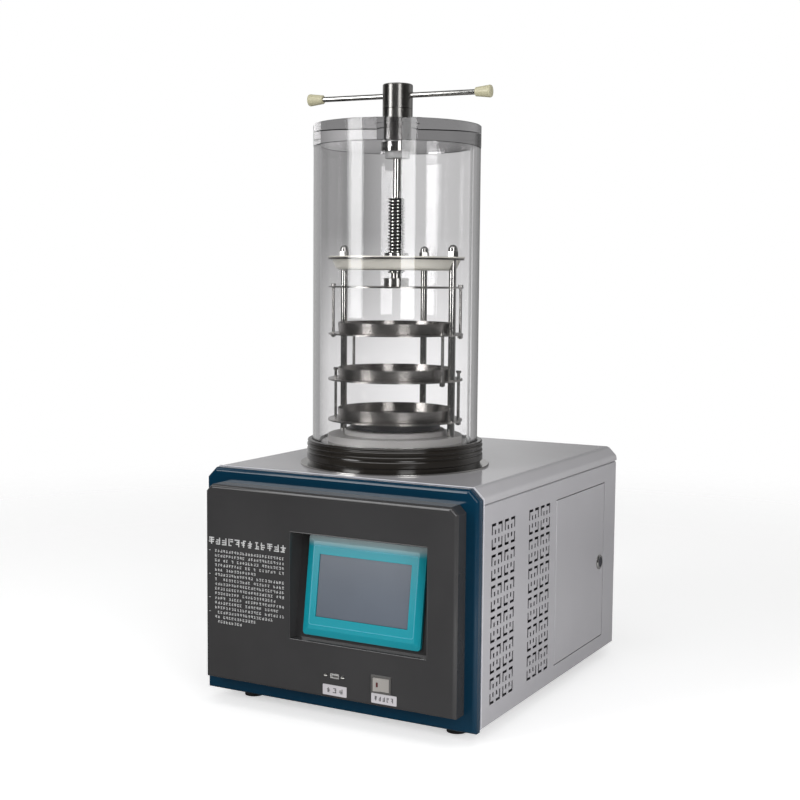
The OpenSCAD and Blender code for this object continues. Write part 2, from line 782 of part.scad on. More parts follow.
// Round in the gland, with two driving flats where it slides in the lead screw
module drive_shaft() color("silver") translate([0, axis_y, 0]) {
    flats_top = screw_top + 10;
    translate([0, 0, flats_top]) cylinder(d = shaft_d, h = hub_z + 14 - flats_top);
    translate([0, 0, shaft_low]) intersection() {
        cylinder(d = shaft_d, h = flats_top - shaft_low);
        translate([-key_flat / 2, -shaft_d, 0]) cube([key_flat, 2 * shaft_d, flats_top - shaft_low]);
    }
}

// Hollow screw: the shaft telescopes in its keyed bore
module lead_screw() color("silver") translate([0, axis_y, 0]) difference() {
    union() {
        translate([0, 0, screw_low]) cylinder(d = screw_d, h = screw_top - 1 - screw_low);
        translate([0, 0, screw_top - 1]) cylinder(d1 = screw_d, d2 = screw_d - 2, h = 1);
        translate([0, 0, foot_top - 8]) cylinder(d = neck_d, h = screw_low - foot_top + 8);
    }
    translate([0, 0, shaft_low - 4]) intersection() {
        cylinder(d = shaft_d + 0.4, h = screw_top);
        translate([-key_flat / 2 - 0.2, -shaft_d, 0]) cube([key_flat + 0.4, 2 * shaft_d, screw_top]);
    }
}

module screw_nut() color("silver") turned() polygon([
    [screw_d / 2 + 0.15, dish_z + 3], [17, dish_z + 3], [17, top_plate_z], [18.2, top_plate_z],
    [18.2, top_plate_z + 5], [17.4, top_plate_z + 5.8], [screw_d / 2 + 0.15, top_plate_z + 5.8]
]);

module press_foot() color("silver") turned() polygon([
    [0, plate_z()], [foot_d / 2, plate_z()], [foot_d / 2, foot_top - 0.6],
    [foot_d / 2 - 0.6, foot_top], [neck_d / 2 + 0.1, foot_top], [neck_d / 2 + 0.1, foot_top - 8.2],
    [0, foot_top - 8.2]
]);

function plate_z() = top_z + plate_top;

// ---- Shelf rack ----

module shelf_disc(z, holes) difference() {
    translate([0, axis_y, z - shelf_t]) cylinder(d = shelf_d, h = shelf_t);
    around(post_angles, post_r, z - shelf_t - 1) cylinder(d = post_d + 1, h = shelf_t + 2);
    around(holes, rod_r, z - shelf_t - 1) cylinder(d = rod_d + 0.6, h = shelf_t + 2);
}

module press_plate() color("silver") shelf_disc(plate_z(), upper_rod_angles);

module upper_shelf() color("silver")
    shelf_disc(top_z + high_shelf, concat(upper_rod_angles, middle_rod_angles));

module middle_shelf() color("silver")
    shelf_disc(top_z + mid_shelf, concat(middle_rod_angles, lower_rod_angles));

module lower_shelf() color("silver") shelf_disc(top_z + low_shelf, lower_rod_angles);

// Shallow pressed tray with a rounded foot
module tray(z) turned() {
    r = tray_d / 2;
    polygon([
        [0, z], [r - 2.5, z], [r - 1.6, z + 0.4], [r - 1, z + 1.4], [r, z + tray_h],
        [r - 1.2, z + tray_h], [r - 2.2, z + 1.8], [r - 2.8, z + 1.2], [0, z + 1.2]
    ]);
}

module upper_tray() color("silver") tray(top_z + high_shelf);

module middle_tray() color("silver") tray(top_z + mid_shelf);

module lower_tray() color("silver") tray(top_z + low_shelf);

// Rods from a head above one sheet down to a nut under the next
module hangers(angles, head_z, shelf_z) around(angles, rod_r, 0) {
    nut_top = shelf_z - shelf_t - 0.3;
    translate([0, 0, nut_top - rod_nut_h - 1]) cylinder(d = rod_d, h = head_z - nut_top + rod_nut_h + 1.5);
    translate([0, 0, head_z]) cylinder(d = 7.6, h = rod_head);
    translate([0, 0, nut_top - rod_nut_h]) cylinder(d = rod_nut, h = rod_nut_h, $fn = 6);
}

module upper_hangers() color("silver") hangers(upper_rod_angles, plate_z(), top_z + high_shelf);

module middle_hangers() color("silver")
    hangers(middle_rod_angles, top_z + high_shelf, top_z + mid_shelf);

// Fixed to the lower shelf; the middle shelf comes down round them
module lower_hangers() color("silver")
    hangers(lower_rod_angles, top_z + mid_shelf + 10, top_z + low_shelf + 0.3);

module rack_base() color("silver") difference() {
    translate([0, axis_y, rack_floor]) cylinder(d = shelf_d, h = rack_top - rack_floor);
    translate([0, axis_y, rack_floor - 1]) cylinder(r = 50, h = 20);
    around(post_angles, post_r, rack_floor - 1) cylinder(d = 8, h = 20);
}

// Disc under the lower shelf on three short legs, open for the vapour round it
module shelf_support() color("dimgray") {
    disc_z = top_z + 55;
    translate([0, axis_y, disc_z]) cylinder(r = 68.5, h = low_shelf - shelf_t - 55);
    around([30, 150, 270], 60, rack_top) cylinder(d = 10, h = disc_z - rack_top + 2);
}

module rack_posts() color("silver") around(post_angles, post_r, 0) {
    translate([0, 0, rack_top]) cylinder(d = post_d, h = top_plate_z - shelf_t - rack_top);
    translate([0, 0, rack_floor]) cylinder(d = 8, h = 20);
    translate([0, 0, top_plate_z - 10]) cylinder(d = 8, h = 20);
}

// Flat rim over a shallow closed dish
module top_plate() color("ivory") difference() {
    turned() polygon([
        [0, dish_z], [86, dish_z], [89.5, dish_z + 1.2], [91.5, dish_z + 3.5],
        [98, top_plate_z - shelf_t], [103, top_plate_z - shelf_t], [103, top_plate_z],
        [0, top_plate_z], [0, top_plate_z - shelf_t], [95, top_plate_z - shelf_t],
        [89, dish_z + 4.5], [85, dish_z + shelf_t], [0, dish_z + shelf_t]
    ]);
    around(post_angles, post_r, dish_z - 1) cylinder(d = post_d + 0.4, h = 19 - shelf_t + 2);
    around(post_angles, post_r, dish_z - 1) cylinder(d = 8.2, h = 40);
    translate([0, axis_y, dish_z - 1]) cylinder(r = 17.1, h = 40);
}

module acorn_nuts() color("silver") around(post_angles, post_r, top_plate_z) difference() {
    union() {
        cylinder(d = 16, h = 8, $fn = 6);
        translate([0, 0, 8]) cylinder(d = 13.6, h = 3);
        translate([0, 0, 11]) sphere(d = 13.6);
    }
    translate([0, 0, -1]) cylinder(d = 8.1, h = 11.1);
}

base_pan();
side_panel_left();
side_panel_right();
rear_panel();
top_cover();
front_frame();
front_panel();
feet();
hmi_housing();
hmi_screen();
usb_socket();
usb_screws();
switch_body();
switch_rocker();
service_door();
hinge_pins();
lock_barrel();
lock_plug();
lock_cam();
trap_pot();
trap_coil();
trap_insulation();
compressor();
condenser();
fan_housing();
fan_blades();
control_box();
vacuum_port();
power_inlet();
drain_nozzle();
base_flange();
seal_collar();
seal_ring();
chamber_tube();
chamber_lid();
gland_body();
gland_nut();
gland_bush();
handle_hub();
tee_bar();
bar_grips();
drive_shaft();
lead_screw();
screw_nut();
press_foot();
press_plate();
rack_base();
shelf_support();
rack_posts();
top_plate();
acorn_nuts();
upper_shelf();
middle_shelf();
lower_shelf();
upper_tray();
middle_tray();
lower_tray();
upper_hangers();
middle_hangers();
lower_hangers();
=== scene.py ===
"""Looks, lights and camera for the benchtop freeze dryer.

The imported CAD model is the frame, and places below are read from its nodes. Metres, +Z up, front towards -Y.
"""

import json
import math
import random

import bmesh
import bpy
from mathutils import Matrix, Vector

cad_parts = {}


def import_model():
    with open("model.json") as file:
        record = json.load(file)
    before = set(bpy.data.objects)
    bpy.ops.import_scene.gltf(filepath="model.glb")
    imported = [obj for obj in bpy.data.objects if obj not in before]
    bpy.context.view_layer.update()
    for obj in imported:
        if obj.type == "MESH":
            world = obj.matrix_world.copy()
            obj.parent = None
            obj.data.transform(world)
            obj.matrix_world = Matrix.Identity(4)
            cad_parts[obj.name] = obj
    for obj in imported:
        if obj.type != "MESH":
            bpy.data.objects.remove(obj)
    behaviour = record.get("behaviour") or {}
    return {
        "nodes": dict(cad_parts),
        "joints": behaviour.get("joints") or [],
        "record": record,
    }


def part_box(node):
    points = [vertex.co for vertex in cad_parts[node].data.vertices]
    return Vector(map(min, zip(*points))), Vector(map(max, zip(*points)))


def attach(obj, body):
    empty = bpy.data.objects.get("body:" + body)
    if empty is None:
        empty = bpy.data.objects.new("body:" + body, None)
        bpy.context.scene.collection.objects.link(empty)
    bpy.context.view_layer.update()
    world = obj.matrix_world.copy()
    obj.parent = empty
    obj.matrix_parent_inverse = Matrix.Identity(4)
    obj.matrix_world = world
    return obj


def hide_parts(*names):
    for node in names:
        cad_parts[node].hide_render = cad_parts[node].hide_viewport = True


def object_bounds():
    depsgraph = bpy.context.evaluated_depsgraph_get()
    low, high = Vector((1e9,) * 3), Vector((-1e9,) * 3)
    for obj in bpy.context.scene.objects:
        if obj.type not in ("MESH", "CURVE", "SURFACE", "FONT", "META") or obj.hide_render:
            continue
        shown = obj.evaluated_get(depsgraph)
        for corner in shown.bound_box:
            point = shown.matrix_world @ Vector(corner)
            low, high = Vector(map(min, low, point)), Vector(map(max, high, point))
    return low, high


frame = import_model()
cad_low, cad_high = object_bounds()
MM = 0.001
# Where the camera stands, from the front round to the right
VIEW_AZIMUTH = math.radians(28.403)

# ---------------------------------------------------------------- places read from the frame


def low(node):
    return Vector(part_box(node)[0])


def high(node):
    return Vector(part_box(node)[1])


def centre(node):
    return (low(node) + high(node)) / 2


panel_face = low("front_panel").y
chamber = centre("chamber_tube")


def around_chamber(radius, angle, z):
    """A place on a level circle round the chamber's axis."""
    return Vector((chamber.x + radius * math.cos(angle), chamber.y + radius * math.sin(angle), z))


def on_panel(x, z):
    """A place on the flat face of the control panel."""
    return Matrix.Translation((x, panel_face, z))


# ---------------------------------------------------------------- node graphs


class Graph:
    """The nodes of a material or of the world. A value is a constant or the output of another node."""

    def __init__(self, owner):
        owner.use_nodes = True
        self.nodes = owner.node_tree.nodes
        self.links = owner.node_tree.links

    def add(self, kind):
        return self.nodes.new("ShaderNode" + kind)

    def feed(self, socket, value):
        """Links an output to a socket, or sets a constant on it."""
        if isinstance(value, bpy.types.NodeSocket):
            self.links.new(value, socket)
        elif socket.type == "RGBA":
            socket.default_value = (*value, 1)
        else:
            socket.default_value = value

    def object_coordinates(self, stretch=(1, 1, 1)):
        mapping = self.add("Mapping")
        self.feed(mapping.inputs["Vector"], self.add("TexCoord").outputs["Object"])
        self.feed(mapping.inputs["Scale"], stretch)
        return mapping.outputs["Vector"]

    def split(self, vector):
        node = self.add("SeparateXYZ")
        self.feed(node.inputs["Vector"], vector)
        return [node.outputs[letter] for letter in "XYZ"]

    def noise(self, scale, stretch=(1, 1, 1), detail=3.0):
        texture = self.add("TexNoise")
        self.feed(texture.inputs["Vector"], self.object_coordinates(stretch))
        self.feed(texture.inputs["Scale"], scale)
        self.feed(texture.inputs["Detail"], detail)
        return texture.outputs["Fac"]

    def remap(self, value, start, end, first=0.0, last=1.0, easing="LINEAR"):
        """Goes from first to last while the value goes from start to end."""
        node = self.add("MapRange")
        node.interpolation_type = easing
        self.feed(node.inputs["Value"], value)
        self.feed(node.inputs["From Min"], start)
        self.feed(node.inputs["From Max"], end)
        self.feed(node.inputs["To Min"], first)
        self.feed(node.inputs["To Max"], last)
        return node.outputs["Result"]

    def spread(self, noise, first, last):
        """Carries the middle of a noise over to a range."""
        return self.remap(noise, 0.3, 0.7, first, last)

    def compute(self, operation, *values):
        node = self.add("Math")
        node.operation = operation
        for socket, value in zip(node.inputs, values):
            self.feed(socket, value)
        return node.outputs["Value"]

    def product(self, first, *others):
        for other in others:
            first = self.compute("MULTIPLY", first, other)
        return first

    def total(self, first, *others):
        for other in others:
            first = self.compute("ADD", first, other)
        return first

    def above(self, value, limit):
        return self.compute("GREATER_THAN", value, limit)

    def below(self, value, limit):
        return self.compute("LESS_THAN", value, limit)

    def between(self, value, start, end):
        return self.product(self.above(value, start), self.below(value, end))

    def measure(self, operation, *vectors):
        """A length, distance or dot product of vectors."""
        node = self.add("VectorMath")
        node.operation = operation
        for socket, vector in zip(node.inputs, vectors):
            self.feed(socket, vector)
        return node.outputs["Value"]

    def mix(self, kind, factor, first, second):
        node = self.add("Mix")
        node.data_type = kind
        self.feed(node.inputs["Factor"], factor)
        self.feed(node.inputs["A"], first)
        self.feed(node.inputs["B"], second)
        return node.outputs["Result"]

    def choose(self, factor, no, yes):
        return self.mix("FLOAT", factor, no, yes)

    def two_tones(self, factor, first, second):
        return self.mix("RGBA", factor, first, second)


class Surface(Graph):
    """A material with one Principled shader."""

    def __init__(self, name, **sockets):
        self.name = name
        self.material = bpy.data.materials.new(name)
        super().__init__(self.material)
        self.shader = self.nodes["Principled BSDF"]
        self.set(**sockets)

    def set(self, **sockets):
        """Feeds the shader's sockets, whose names are given with _ for a space."""
        for name, value in sockets.items():
            self.feed(self.shader.inputs[name.replace("_", " ")], value)

    def base_color(self):
        """The output that feeds the base colour."""
        return self.shader.inputs["Base Color"].links[0].from_socket

    def clear_where(self, factor, tint=(1, 1, 1)):
        """Lets light straight through, tinted, as far as the factor says."""
        clear = self.add("BsdfTransparent")
        self.feed(clear.inputs["Color"], tint)
        mix = self.add("MixShader")
        self.feed(mix.inputs["Fac"], factor)
        self.feed(mix.inputs[1], self.shader.outputs["BSDF"])
        self.feed(mix.inputs[2], clear.outputs["BSDF"])
        self.feed(self.nodes["Material Output"].inputs["Surface"], mix.outputs["Shader"])


# ---------------------------------------------------------------- materials


def finish(
    name,
    color,
    roughness,
    metallic=0.0,
    cloud=0.04,
    cloud_scale=9.0,
    swing=0.05,
    grain=0.0,
    grain_scale=900.0,
    **sockets,
):
    """A surface: cloud is how far its tone drifts, swing its roughness, grain the depth of a fine relief."""
    surface = Surface(name, Roughness=roughness, Metallic=metallic, **sockets)
    drift = surface.spread(surface.noise(cloud_scale), 0.0, 1.0)
    dark, pale = ([min(1.0, c * shade) for c in color] for shade in (1 - cloud, 1 + cloud))
    surface.set(Base_Color=surface.two_tones(drift, dark, pale))
    fine = surface.noise(grain_scale, detail=2.0) if swing or grain else None
    if swing:
        surface.set(Roughness=surface.spread(fine, roughness - swing, roughness + swing))
    if grain:
        bump = surface.add("Bump")
        surface.feed(bump.inputs["Strength"], 0.35)
        surface.feed(bump.inputs["Distance"], grain)
        surface.feed(bump.inputs["Height"], fine)
        surface.set(Normal=bump.outputs["Normal"])
    return surface


def brushed(name, color, roughness):
    """Metal with fine marks round the upright axis, which draw its highlights out upright."""
    surface = finish(name, color, roughness, metallic=1.0, cloud=0.02, swing=0.0)
    around = surface.add("Tangent")
    around.direction_type = "RADIAL"
    around.axis = "Z"
    surface.set(Tangent=around.outputs["Tangent"], Anisotropic=0.85, Anisotropic_Rotation=0.25)
    return surface


def clear_acrylic(name, tint):
    """Clear acrylic, which lets the lamps through to what stands inside it."""
    surface = Surface(name, Base_Color=tint, Transmission_Weight=1.0, IOR=1.49)
    smears = surface.noise(30.0, stretch=(1, 1, 0.2))
    surface.set(Roughness=surface.spread(smears, 0.0, 0.02))
    surface.clear_where(surface.add("LightPath").outputs["Is Shadow Ray"], (0.92, 0.92, 0.92))
    return surface


def sheen_painted_bezel():
    """Teal moulding painted paler towards its upper edge: a painted sheen that stands in for a reflection of
    light.
    """
    surface = finish("sheen_painted_bezel", (0.008, 0.31, 0.385), 0.17, cloud=0.03, swing=0.03)
    _, _, z = surface.split(surface.object_coordinates())
    top = high("hmi_housing").z
    # Painted sheen: the colour pales over the top 18 mm, in place of a reflection.
    sheen = surface.remap(z, top - 18 * MM, top - 2 * MM, 0.0, 0.8, easing="SMOOTHSTEP")
    surface.set(Base_Color=surface.two_tones(sheen, surface.base_color(), (0.60, 0.66, 0.66)))
    return surface


def thread_steel(root, crest):
    """Steel with painted shade in the thread's root, dark there, and bright on its crest and on the neck."""
    surface = finish("thread_steel", (0.46, 0.455, 0.44), 0.14, metallic=1.0, swing=0.0)
    level = surface.object_coordinates((1, 1, 0))
    radius = surface.measure("DISTANCE", level, (chamber.x, chamber.y, 0))
    off_root = surface.compute("ABSOLUTE", surface.compute("SUBTRACT", radius, root))
    depth = crest - root
    # Painted shade: near black at the root, the steel's own tone towards the crest.
    out_of_root_shade = surface.remap(off_root, 0.3 * depth, 0.9 * depth)
    surface.set(Base_Color=surface.two_tones(out_of_root_shade, (0.012, 0.011, 0.010), surface.base_color()))
    return surface


SURFACES = (
    # The casing
    finish("case_paint", (0.51, 0.50, 0.525), 0.22, cloud=0.02, grain=0.02 * MM, grain_scale=1400),
    finish("cover_paint", (0.53, 0.52, 0.54), 0.11, cloud=0.02, swing=0.02),
    # Painted highlight: paler than case_paint, for the fine line of the casing's folded edge.
    finish("edge_highlight_paint", (0.80, 0.79, 0.84), 0.2, cloud=0.02),
    finish("frame_blue", (0.002, 0.031, 0.064), 0.10, cloud=0.03, swing=0.02, Specular_IOR_Level=0.35),
    finish("panel_black", (0.047, 0.046, 0.047), 0.10, cloud=0.08, swing=0.0),
    finish("foot_rubber", (0.012, 0.012, 0.012), 0.75, grain=0.1 * MM, grain_scale=600),
    finish("lock_dark", (0.05, 0.05, 0.07), 0.15, metallic=0.6),
    # The controls and the print
    sheen_painted_bezel(),
    # Painted highlight: a paler teal than the bezel's, so the ridge reads as a light line.
    finish("ridge_highlight_teal", (0.10, 0.48, 0.60), 0.12, cloud=0.03, swing=0.02),
    finish("screen", (0.135, 0.155, 0.188), 0.10, cloud=0.10, cloud_scale=5, swing=0.02),
    finish("socket_steel", (0.72, 0.71, 0.70), 0.35, metallic=0.4),
    finish("switch_frame", (0.16, 0.155, 0.15), 0.18, metallic=0.3),
    finish("rocker_grey", (0.36, 0.34, 0.32), 0.35, cloud=0.08),
    finish("mark_red", (0.09, 0.008, 0.01), 0.4),
    finish("white_print", (0.56, 0.56, 0.56), 0.6, cloud=0.12, cloud_scale=60),
    finish("label_white", (0.60, 0.575, 0.60), 0.5, cloud=0.05),
    finish("label_print", (0.06, 0.06, 0.06), 0.6),
    # Inside the casing
    finish("copper", (0.70, 0.36, 0.20), 0.30, metallic=1.0, cloud=0.12),
    finish("foam", (0.62, 0.55, 0.38), 0.9, cloud=0.12, grain=0.4 * MM, grain_scale=300),
    finish("dark_paint", (0.012, 0.012, 0.013), 0.42, grain=0.03 * MM),
    finish("fan_plastic", (0.015, 0.015, 0.016), 0.5, grain=0.05 * MM),
    finish("box_paint", (0.20, 0.205, 0.21), 0.45),
    # The chamber, its drive and its rack
    clear_acrylic("acrylic", (0.97, 0.965, 0.97)),
    clear_acrylic("lid_acrylic", (0.68, 0.67, 0.68)),
    finish("collar_black", (0.022, 0.019, 0.016), 0.16),
    finish("bright_steel", (0.42, 0.41, 0.395), 0.20, metallic=1.0),
    finish("polished_steel", (0.48, 0.475, 0.46), 0.10, metallic=1.0, swing=0.0),
    brushed("hub_steel", (0.25, 0.245, 0.235), 0.33),
    brushed("shelf_steel", (0.37, 0.355, 0.34), 0.26),
    finish("grey_plastic", (0.42, 0.42, 0.42), 0.4),
    finish("cream_plastic", (0.56, 0.53, 0.36), 0.35, cloud=0.06),
    finish("cream_metal", (0.78, 0.76, 0.68), 0.30, metallic=0.25, swing=0.02),
    finish("grey_plate", (0.48, 0.47, 0.46), 0.42, metallic=0.15, swing=0.04),
    finish("support_black", (0.02, 0.02, 0.021), 0.4),
    # Painted shade: the near black of the ring under the top plate's rim.
    finish("rim_shade_dark", (0.045, 0.042, 0.038), 0.3, metallic=0.5),
)
MATERIALS = {surface.name: surface.material for surface in SURFACES}

# Nodes that look different from their slot
OWN_MATERIAL = {
    "hmi_housing": "sheen_painted_bezel",
    "usb_socket": "socket_steel",
    "switch_body": "switch_frame",
    "top_cover": "cover_paint",
    "chamber_lid": "lid_acrylic",
    "handle_hub": "hub_steel",
    "gland_body": "hub_steel",
    "lock_plug": "lock_dark",
}
slot_of = {s["node"]: s["material_slot"] for s in frame["record"]["subparts"]}
for node, obj in frame["nodes"].items():
    obj.data.materials.clear()
    obj.data.materials.append(MATERIALS[OWN_MATERIAL.get(node, slot_of[node])])

# ---------------------------------------------------------------- small changes to the CAD's pieces


def welded(node):
    """A node's object, with the corners that its faces share joined into one."""
    obj = frame["nodes"][node]
    weld = obj.modifiers.new("weld", "WELD")
    weld.merge_threshold = 0.01 * MM
    return obj


def soften_edges(node, width):
    """Rounds the sharp edges of a sheet metal piece, so that they catch the light."""
    bevel = welded(node).modifiers.new("bevel", "BEVEL")
    bevel.width = width
    bevel.segments = 2
    bevel.limit_method = "ANGLE"
    bevel.angle_limit = math.radians(50)
    bevel.harden_normals = True


def thicken(node, grow):
    """Grows a piece outwards, for one that shows thinner through the tube than the real one."""
    swell = welded(node).modifiers.new("swell", "DISPLACE")
    swell.mid_level = 0.0
    swell.strength = grow


soften_edges("service_door", 0.9 * MM)
thicken("rack_posts", 0.42 * MM)

# ---------------------------------------------------------------- ways to make a piece


def place_object(name, data):
    obj = bpy.data.objects.new(name, data)
    bpy.context.scene.collection.objects.link(obj)
    return obj


def add_piece(name, bm, material, body, smooth_angle=None):
    """Makes an object of a bmesh that rides on a body of the frame."""
    mesh = bpy.data.meshes.new(name)
    bmesh.ops.recalc_face_normals(bm, faces=bm.faces)
    bm.to_mesh(mesh)
    bm.free()
    mesh.materials.append(material)
    if smooth_angle:
        for polygon in mesh.polygons:
            polygon.use_smooth = True
        mesh.set_sharp_from_angle(angle=math.radians(smooth_angle))
    obj = place_object(name, mesh)
    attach(obj, body)
    return obj


def bridge(bm, first, second, closed=True):
    """Joins two rows of vertices by a strip of faces, which goes all round if the rows are closed."""
    count = len(first)
    for i in range(count if closed else count - 1):
        j = (i + 1) % count
        bm.faces.new((first[i], first[j], second[j], second[i]))


def rounded_outline(width, height, corner, steps):
    """The points of an upright rectangle about the origin, with an arc of some steps at each corner."""
    points = []
    for side_x, side_z, start in ((1, 1, 0), (-1, 1, 90), (-1, -1, 180), (1, -1, 270)):
        for i in range(steps + 1):
            angle = math.radians(start + 90 * i / max(steps, 1))
            x = side_x * (width / 2 - corner) + corner * math.cos(angle)
            z = side_z * (height / 2 - corner) + corner * math.sin(angle)
            points.append(Vector((x, 0, z)))
    return points


def outline_row(bm, matrix, outline, proud):
    """The vertices of an outline that stands forward by proud."""
    return [bm.verts.new(matrix @ (point + Vector((0, -proud, 0)))) for point in outline]


def add_plate(bm, matrix, width, height, thickness, corner=0.0):
    """A thin plate standing on its back face: width along X, height along Z, front towards -Y."""
    outline = rounded_outline(width, height, corner, steps=4 if corner else 0)
    back = outline_row(bm, matrix, outline, 0)
    front = outline_row(bm, matrix, outline, thickness)
    bm.faces.new(front)
    bm.faces.new(reversed(back))
    bridge(bm, back, front)


def add_frame(bm, matrix, width, height, line, thickness, corner):
    """A rounded rectangular frame, a line wide, standing on its back face with its front towards -Y."""
    section = ((0, 0), (line * 0.3, thickness), (line * 0.7, thickness), (line, 0))
    rows = []
    for inset, proud in section:
        outline = rounded_outline(width - 2 * inset, height - 2 * inset, corner - inset, steps=6)
        rows.append(outline_row(bm, matrix, outline, proud))
    for first, second in zip(rows, rows[1:] + rows[:1]):
        bridge(bm, first, second)


def circle(bm, radius, z, sides):
    """A level ring of vertices round the chamber's axis."""
    return [bm.verts.new(around_chamber(radius, 2 * math.pi * k / sides, z)) for k in range(sides)]


def turned_ring(name, profile, material):
    """A ring turned round the chamber's axis from a closed profile of radii and heights."""
    bm = bmesh.new()
    rings = [circle(bm, radius, z, sides=96) for radius, z in profile]
    for first, second in zip(rings, rings[1:] + rings[:1]):
        bridge(bm, first, second)
    add_piece(name, bm, MATERIALS[material], "cabinet", smooth_angle=30)


# ---------------------------------------------------------------- the lead screw


def cut_off(bm, level, side):
    """Takes away what is above a level, for side 1, or below it, for side -1."""
    bmesh.ops.bisect_plane(
        bm,
        geom=bm.verts[:] + bm.edges[:] + bm.faces[:],
        dist=0.001 * MM,
        plane_co=(0, 0, level),
        plane_no=(0, 0, side),
        clear_outer=True,
    )


def close_end(bm, level, ring):
    """Fills the flat end between the open rim at a level and a ring of vertices there."""
    open_edges = [e for e in bm.edges if e.is_boundary]
    rim = [e for e in open_edges if all(abs(v.co.z - level) < 0.001 * MM for v in e.verts)]
    inner = [bm.edges.new(pair) for pair in zip(ring, ring[1:] + ring[:1])]
    bmesh.ops.triangle_fill(bm, use_beauty=True, edges=rim + inner)


def threaded_screw():
    """The lead screw with its right-hand trapezoidal thread, its neck and its bore."""
    pitch, depth = 5.0 * MM, 2.75 * MM
    neck, bore = 8.0 * MM, 6.2 * MM
    sides = 48
    foot, top = low("lead_screw"), high("lead_screw")
    crest = (top.x - foot.x) / 2
    root = crest - depth
    shoulder = high("press_foot").z + 7.6 * MM
    bore_floor = low("drive_shaft").z - 2 * MM
    # The thread's section: shares of the pitch and the radius at each
    profile = ((0.0, root), (0.28, root), (0.42, crest), (0.72, crest), (0.86, root), (1.0, root))
    turns = int((top.z - shoulder) / pitch) + 3
    bm = bmesh.new()
    rows = []
    for i in range(turns * sides + 1):
        turn = i / sides
        row = []
        for along, radius in profile:
            z = shoulder + (turn + along - 2) * pitch
            row.append(bm.verts.new(around_chamber(radius, 2 * math.pi * turn, z)))
        rows.append(row)
    for first, second in zip(rows, rows[1:]):
        bridge(bm, first, second, closed=False)
    bmesh.ops.remove_doubles(bm, verts=bm.verts, dist=0.002 * MM)
    cut_off(bm, shoulder, -1)
    cut_off(bm, top.z, 1)
    for radius, level, end in ((bore, top.z, bore_floor), (neck, shoulder, foot.z)):
        ring = circle(bm, radius, level, sides)
        close_end(bm, level, ring)
        end_ring = circle(bm, radius, end, sides)
        bridge(bm, ring, end_ring)
        bm.faces.new(end_ring)
    steel = thread_steel(root, crest).material
    screw = add_piece("screw_thread", bm, steel, "screw", smooth_angle=30)
    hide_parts("lead_screw")


# ---------------------------------------------------------------- print, labels and marks

PRINT_PROUD = 0.12 * MM


def glyph(bm, x, z, width, height, rng, proud=PRINT_PROUD):
    """A made-up sign that says nothing: three short level strokes and an upright one."""
    thin = height * 0.16
    for lift in rng.sample((-0.42, -0.14, 0.14, 0.42), 3):
        stroke = width * rng.choice((0.5, 0.7, 0.9))
        shift = (width - stroke) * rng.uniform(-0.4, 0.4)
        add_plate(bm, on_panel(x + shift, z + lift * height), stroke, thin, proud)
    side = rng.choice((-0.3, 0.0, 0.3))
    add_plate(bm, on_panel(x + side * width, z), thin * 1.1, height, proud - 0.01 * MM)


def panel_print():
    """The block of print left of the screen: a title and sixteen rows of made-up signs."""
    rng = random.Random(5)
    left, width = low("front_panel").x + 5 * MM, 137 * MM
    panel_top = high("front_panel").z
    title_level, first_row = panel_top - 83.5 * MM, panel_top - 98 * MM

    title_signs, title_height = 12, 10.5 * MM
    step = width / title_signs
    title = bmesh.new()
    for i in range(title_signs):
        glyph(title, left + (i + 0.5) * step, title_level, step * 0.86, title_height, rng)
    add_piece("panel_print_title", title, MATERIALS["white_print"], "cabinet")

    pitch, cell, sign_height, indent = 7.05 * MM, 4.9 * MM, 3.9 * MM, 11 * MM
    share_filled = {4: 0.60, 9: 0.86, 13: 0.84, 14: 0.62, 15: 0.40}
    rows_with_dash = (0, 5, 10, 13)
    dash_x, dash_width, dash_height = left + 2.4 * MM, 3.0 * MM, 0.7 * MM
    gap_chance = 0.06
    rows = bmesh.new()
    for i in range(16):
        z = first_row - i * pitch
        for k in range(int((width - indent) * share_filled.get(i, 1.0) / cell)):
            if rng.random() > gap_chance:
                x = left + indent + (k + 0.5) * cell
                glyph(rows, x, z, cell * 0.72, sign_height, rng)
        if i in rows_with_dash:
            add_plate(rows, on_panel(dash_x, z), dash_width, dash_height, PRINT_PROUD)
    add_piece("panel_print_rows", rows, MATERIALS["white_print"], "cabinet")


def label(name, place, width, height, marks):
    """A pale label plate with a few made-up signs."""
    rng = random.Random(marks)
    thick = 0.5 * MM
    plate = bmesh.new()
    add_plate(plate, on_panel(*place), width, height, thick, corner=1.2 * MM)
    add_piece(name, plate, MATERIALS["label_white"], "cabinet")
    step = width * 0.8 / marks
    signs = bmesh.new()
    for i in range(marks):
        x = place[0] + (i - (marks - 1) / 2) * step
        glyph(signs, x, place[1], step * 0.62, height * 0.46, rng, thick + 0.1 * MM)
    add_piece(name + "_marks", signs, MATERIALS["label_print"], "cabinet")


def rocker_mark():
    """The red bar on the raised half of the rocker switch."""
    rocker = next(j for j in frame["joints"] if j["name"] == "power_rocker")
    half_throw = math.radians(rocker["range_deg"][1] / 2)
    rise, half_width = 1.4 * MM, 12.2 * MM
    bar_x, bar_y = -6.2 * MM, -6.67 * MM
    bar_width, bar_height, bar_proud = 2.6 * MM, 6.5 * MM, 0.3 * MM
    place = Matrix.Translation(rocker["pos_m"]) @ Matrix.Rotation(half_throw, 4, "Z")
    place = place @ Matrix.Translation((bar_x, bar_y, 0))
    place = place @ Matrix.Rotation(math.atan(rise / half_width), 4, "Z")
    bm = bmesh.new()
    add_plate(bm, place, bar_width, bar_height, bar_proud)
    add_piece("rocker_mark", bm, MATERIALS["mark_red"], "rocker")


# ---------------------------------------------------------------- fine lines of the mouldings and the casing


